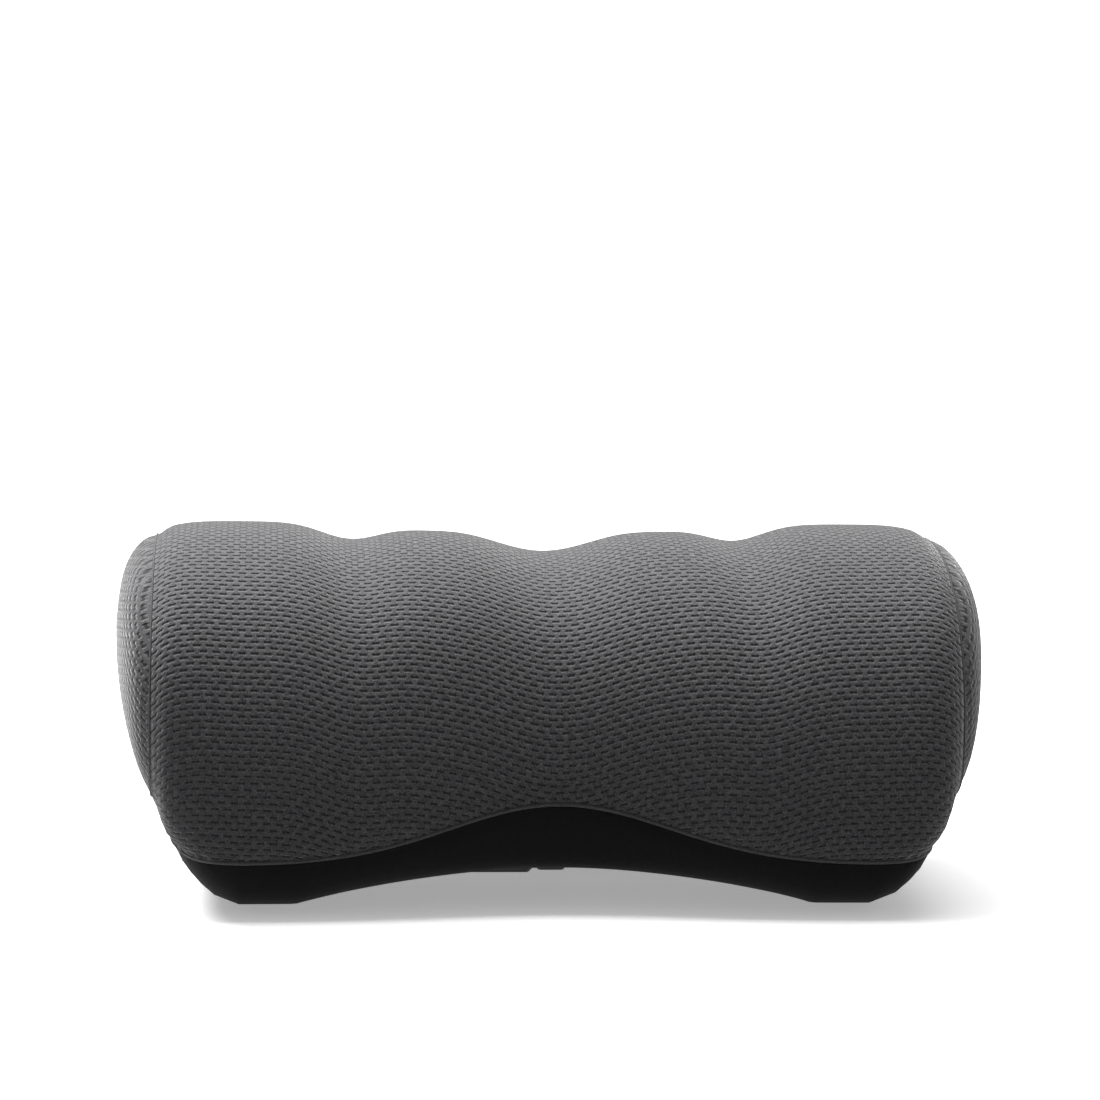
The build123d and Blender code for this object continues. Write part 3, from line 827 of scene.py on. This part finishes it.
# %% Weave the small cloths
def woven(name, dark, light, thread, on_cloth=False, roughness=0.7):
    """Crossed sine waves at the thread spacing, multiplied into a plain weave."""
    material, tree, shader = new_material(name)
    if on_cloth:
        place = add_node(tree, "ShaderNodeAttribute", {"attribute_name": "cloth_place"}).outputs["Vector"]
    else:
        place = add_node(tree, "ShaderNodeTexCoord").outputs["Object"]
    parts = add_node(tree, "ShaderNodeSeparateXYZ", i0=place)
    turns = 2 * np.pi / thread
    first = maths(tree, "SINE", maths(tree, "MULTIPLY", parts.outputs[0], turns))
    other = maths(tree, "ADD", parts.outputs[1], 0.0 if on_cloth else parts.outputs[2])
    second = maths(tree, "SINE", maths(tree, "MULTIPLY", other, turns * 0.5))
    weave = maths(tree, "MULTIPLY", first, second)
    noise = add_node(tree, "ShaderNodeTexNoise", None, Vector=place, Scale=1500.0, Detail=2.0)
    tone = maths(tree, "ADD", maths(tree, "MULTIPLY", weave, 0.3), noise.outputs[0])
    shade = blend_colours(tree, band(tree, tone, 0.2, 0.85), colour(dark), colour(light))
    tree.links.new(shade, shader.inputs["Base Color"])
    bump = add_node(tree, "ShaderNodeBump", None, Strength=0.6, Distance=0.25 * MM, Height=weave)
    tree.links.new(bump.outputs[0], shader.inputs["Normal"])
    shader.inputs["Roughness"].default_value = roughness
    shader.inputs["Sheen Weight"].default_value = 0.15
    return material


thread = woven("black_polyester_thread", "0b0b0c", "242426", 0.6 * MM)
tape = woven("black_woven_zip_tape", "0c0c0d", "222224", 0.8 * MM)
elastic = woven("black_elastic_webbing", "0b0b0c", "262628", 1.5 * MM, on_cloth=True)
patch = woven("black_anchor_webbing", "0b0b0c", "202022", 1.2 * MM)
satin = woven("white_satin_label", "d8d8d4", "f4f4f0", 0.5 * MM, roughness=0.35)
liner = woven("pale_liner_jersey", "b9b8b0", "dddcd4", 1.0 * MM)
for piece in (welt_base, *end_welts.values()):
    piece.data.materials.append(thread)
for piece in (strap_left, strap_right):
    piece.data.materials.append(elastic)
label.data.materials.append(satin)

# %% [markdown]
# ### Plastics, metal and foam
#
# The buckle is moulded acetal, satin with a faint grain. The coil is drawn nylon, smoother.
# The slider, stops and pull are cast zinc under black lacquer. The foam is poured polyurethane
# with open pores.

# %% Make the hard finishes and the foam
def grained(name, dark, light, roughness, grain, depth, metallic=0.0):
    """Moulded or lacquered surface: a fine noise grain in tone, roughness and bump."""
    material, tree, shader = new_material(name)
    room = add_node(tree, "ShaderNodeTexCoord").outputs["Object"]
    noise = add_node(tree, "ShaderNodeTexNoise", None, Vector=room, Scale=1 / grain, Detail=3.0)
    shade = blend_colours(tree, noise.outputs[0], colour(dark), colour(light))
    tree.links.new(shade, shader.inputs["Base Color"])
    rough = band(tree, noise.outputs[0], 0.2, 0.8, roughness - 0.08, roughness + 0.08)
    tree.links.new(rough, shader.inputs["Roughness"])
    bump = add_node(tree, "ShaderNodeBump", None, Strength=0.4, Distance=depth, Height=noise.outputs[0])
    tree.links.new(bump.outputs[0], shader.inputs["Normal"])
    shader.inputs["Metallic"].default_value = metallic
    return material


acetal = grained("black_moulded_acetal", "101012", "1c1c1e", 0.45, 0.5 * MM, 0.06 * MM)
nylon = grained("black_drawn_nylon", "0c0c0d", "1a1a1c", 0.3, 0.8 * MM, 0.02 * MM)
lacquer = grained("black_lacquered_zinc", "111113", "26262a", 0.32, 1.2 * MM, 0.02 * MM, metallic=0.6)
foam = grained("poured_memory_foam", "d9cfb4", "efe7d0", 0.9, 1.0 * MM, 0.4 * MM)
for piece in coils:
    piece.data.materials.append(nylon)

# %% Dress the solid parts that stay
finishes = {
    "foam_core": foam,
    "inner_liner": liner,
    "zip_tape_upper": tape,
    "zip_tape_lower": tape,
    "zip_stop_closed": lacquer,
    "zip_stop_open": lacquer,
    "zip_slider": lacquer,
    "zip_pull": lacquer,
    "anchor_patch_left": patch,
    "anchor_patch_right": patch,
    "anchor_stitches_left": thread,
    "anchor_stitches_right": thread,
    "buckle_socket": acetal,
    "buckle_plug": acetal,
    "latch_arm_front": acetal,
    "latch_arm_rear": acetal,
    "strap_keeper": acetal,
}
for node, finish in finishes.items():
    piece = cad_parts[node]
    piece.data.materials.clear()
    piece.data.materials.append(finish)
print("finished", len(finishes), "solid parts")

# %% [markdown]
# ## Floor, light and camera
#
# A white sweep, floor curving up into a wall, keeps the background plain. It takes shadows but
# throws no light back, so the low front stays dark. One large soft light above, behind and to
# the left grazes the crest. The camera stands back with a long lens, a little to the left.

# %% Light the scene
def soft_light(name, place, target, size, power):
    """A square area light at a place, facing a target."""
    data = bpy.data.lights.new(name, "AREA")
    data.size, data.energy = size, power
    lamp = bpy.data.objects.new(name, data)
    lamp.location = place
    lamp.rotation_euler = (Vector(target) - Vector(place)).to_track_quat("-Z", "Y").to_euler()
    bpy.context.scene.collection.objects.link(lamp)
    return lamp


bend = np.linspace(0, np.pi / 2, 24)
profile = np.concatenate([[(-6, 0)], np.stack([2 + np.sin(bend), 1 - np.cos(bend)], 1), [(3, 6)]])
sides = np.array([-6.0, 6.0])[:, None]
sweep_rows = np.stack([sides + 0 * profile[:, 0], profile[:, 0] + 0 * sides, profile[:, 1] + 0 * sides], -1)
floor = add_object("floor", grid_mesh("floor", sweep_rows, closed_round=False))
if floor.data.polygons[0].normal.z < 0:
    floor.data.flip_normals()
floor.visible_diffuse = False
paint, tree, shader = new_material("white_paint")
shader.inputs["Base Color"].default_value = colour("f4f4f4")
shader.inputs["Roughness"].default_value = 0.9
shader.inputs["Emission Color"].default_value = (1, 1, 1, 1)
shader.inputs["Emission Strength"].default_value = 0.35
floor.data.materials.append(paint)

world = bpy.data.worlds.new("studio")
bpy.context.scene.world = world
world.use_nodes = True
world.node_tree.nodes["Background"].inputs["Color"].default_value = (1, 1, 1, 1)
world.node_tree.nodes["Background"].inputs["Strength"].default_value = 0.3
soft_light("back_light", (-0.75, 0.75, 1.45), (0, 0, 0.08), 0.9, 66)
soft_light("wall_light", (0.0, 0.6, 3.0), (0, 2.6, 1.0), 2.5, 150)
bpy.context.scene.view_settings.view_transform = "Standard"

# %% Place the camera
TURN, TILT, ROLL = np.radians(4.5), np.radians(4.0), np.radians(0.6)
DISTANCE, VIEW_WIDTH = 1.3, 0.39
AIM = Vector((0.002, 0.0, 0.1175))
direction = Vector((-np.sin(TURN) * np.cos(TILT), -np.cos(TURN) * np.cos(TILT), np.sin(TILT)))
lens = bpy.data.cameras.new("camera")
lens.sensor_width = 36
lens.lens = 36 * DISTANCE / VIEW_WIDTH
camera = bpy.data.objects.new("camera", lens)
camera.location = AIM + direction * DISTANCE
facing = direction.to_track_quat("Z", "Y") @ Quaternion((0, 0, 1), ROLL)
camera.rotation_euler = facing.to_euler()
bpy.context.scene.collection.objects.link(camera)
bpy.context.scene.camera = camera
